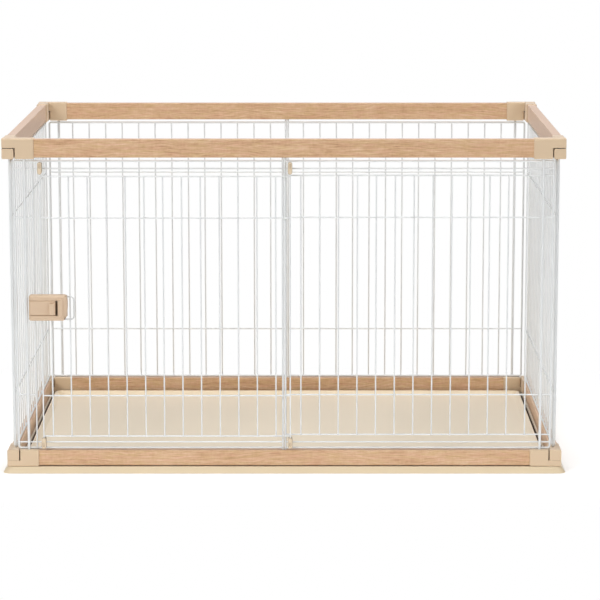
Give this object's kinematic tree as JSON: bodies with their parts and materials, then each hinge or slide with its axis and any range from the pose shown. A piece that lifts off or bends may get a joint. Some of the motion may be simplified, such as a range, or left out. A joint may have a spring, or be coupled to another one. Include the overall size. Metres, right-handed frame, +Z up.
{
  "type": "pet playpen",
  "caption": "Wire pet playpen: wire walls between wood-grain rails on a shallow tray, with corner-lap caps and a sliding wire door held by a finger latch.",
  "frame": {"origin": "centre of the floor tray's underside, on the ground", "axes": "+X to the right along the front wall, +Y to the back wall, +Z up; the door and latch are on the front (-Y) side"},
  "size_m": [1.27, 0.8882, 0.757],
  "materials": {
    "wood_rail": "satin light-oak wood-grain film over a board core, grain along the rail",
    "beige_plastic": "moulded beige plastic, fine satin texture",
    "cream_tray": "moulded cream plastic, satin",
    "white_wire": "white powder coat, semi-gloss",
    "zinc_steel": "bright zinc plate"
  },
  "bodies": {
    "tray": {"floor_tray": "cream_tray"},
    "fence": {"rail_front_top": "wood_rail", "rail_front_bottom": "wood_rail", "rail_back_top": "wood_rail", "rail_back_bottom": "wood_rail", "rail_left_top": "wood_rail", "rail_left_bottom": "wood_rail", "rail_right_top": "wood_rail", "rail_right_bottom": "wood_rail", "cap_front_top_left": "beige_plastic", "cap_front_top_right": "beige_plastic", "cap_front_bottom_left": "beige_plastic", "cap_front_bottom_right": "beige_plastic", "cap_back_top_left": "beige_plastic", "cap_back_top_right": "beige_plastic", "cap_back_bottom_left": "beige_plastic", "cap_back_bottom_right": "beige_plastic", "cap_left_top_front": "beige_plastic", "cap_left_top_back": "beige_plastic", "cap_left_bottom_front": "beige_plastic", "cap_left_bottom_back": "beige_plastic", "cap_right_top_front": "beige_plastic", "cap_right_top_back": "beige_plastic", "cap_right_bottom_front": "beige_plastic", "cap_right_bottom_back": "beige_plastic", "corner_pin_front_left_top": "zinc_steel", "corner_pin_front_left_bottom": "zinc_steel", "corner_pin_back_left_top": "zinc_steel", "corner_pin_back_left_bottom": "zinc_steel", "corner_pin_front_right_top": "zinc_steel", "corner_pin_front_right_bottom": "zinc_steel", "corner_pin_back_right_top": "zinc_steel", "corner_pin_back_right_bottom": "zinc_steel", "wire_panel_back_left": "white_wire", "wire_panel_back_right": "white_wire", "wire_panel_left": "white_wire", "wire_panel_right": "white_wire", "wire_panel_front_fixed": "white_wire", "wire_panel_front_door_frame": "white_wire"},
    "door": {"door_panel": "white_wire", "door_clip_top_left": "beige_plastic", "door_clip_top_right": "beige_plastic", "door_clip_bottom_left": "beige_plastic", "door_clip_bottom_right": "beige_plastic", "latch_housing": "beige_plastic", "latch_back_plate": "beige_plastic", "latch_hook_pin": "zinc_steel", "latch_spring": "zinc_steel", "latch_screw_upper": "zinc_steel", "latch_screw_lower": "zinc_steel"},
    "latch_lever": {"latch_lever": "beige_plastic"},
    "latch_hook": {"latch_hook": "beige_plastic"}
  },
  "joints": [
    {"name": "fence_lift", "type": "slide", "parent": "tray", "child": "fence", "axis": [0, 0, 1], "range_m": [0, 0.1]},
    {"name": "door_slide", "type": "slide", "parent": "fence", "child": "door", "axis": [1, 0, 0], "range_m": [0, 0.52]},
    {"name": "latch_lever_slide", "type": "slide", "parent": "door", "child": "latch_lever", "axis": [1, 0, 0], "range_m": [-0.002, 0.0043], "deforming": ["latch_spring"]},
    {"name": "latch_hook_turn", "type": "hinge", "parent": "door", "child": "latch_hook", "pos_m": [-0.5487, -0.425, 0.381], "axis": [0, 0, 1], "range_deg": [-16.2, 34.6]}
  ],
  "couplings": [
    {"joint": "latch_hook_turn", "follows": "latch_lever_slide", "rad_per_m": 139.63}
  ]
}
